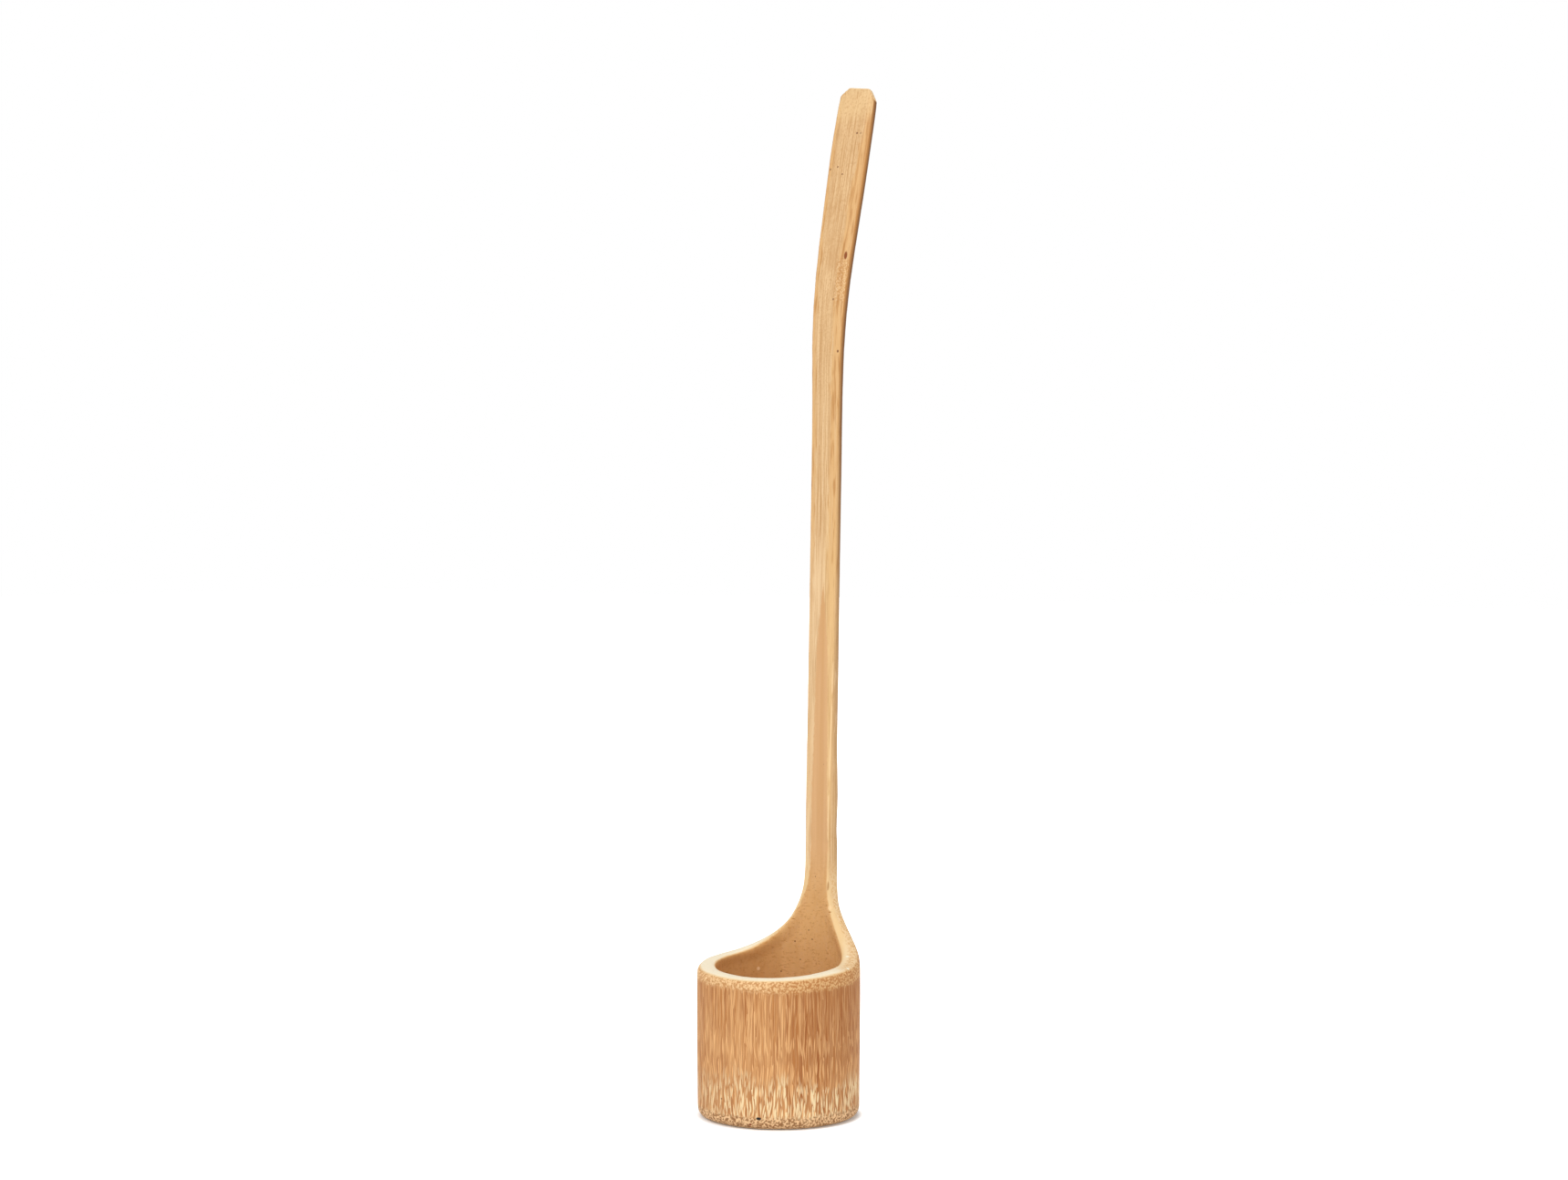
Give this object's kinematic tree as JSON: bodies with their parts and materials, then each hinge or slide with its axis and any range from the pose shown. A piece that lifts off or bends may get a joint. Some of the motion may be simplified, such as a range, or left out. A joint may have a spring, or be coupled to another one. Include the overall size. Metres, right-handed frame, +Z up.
{
  "type": "bamboo water dipper",
  "caption": "One-piece bamboo water dipper: a round cup closed by its node, whose rim sweeps up at the back into a long slim handle bent outward near its clipped tip.",
  "frame": {"origin": "on the cup's axis, at the plane that the cup's foot rests on", "axes": "+Z up along the cup's axis; the handle stands on the +Y side of the cup and bends towards +Y; +X is to the right seen from the cup's front, which faces -Y"},
  "size_m": [0.058, 0.0825, 0.3691],
  "materials": {
    "bamboo_cup": "sanded bamboo, oiled satin",
    "bamboo_floor": "natural bamboo node, matt",
    "bamboo_handle": "planed bamboo, satin"
  },
  "bodies": {
    "root": {"cup_wall": "bamboo_cup", "node_floor": "bamboo_floor", "handle": "bamboo_handle"}
  },
  "joints": []
}
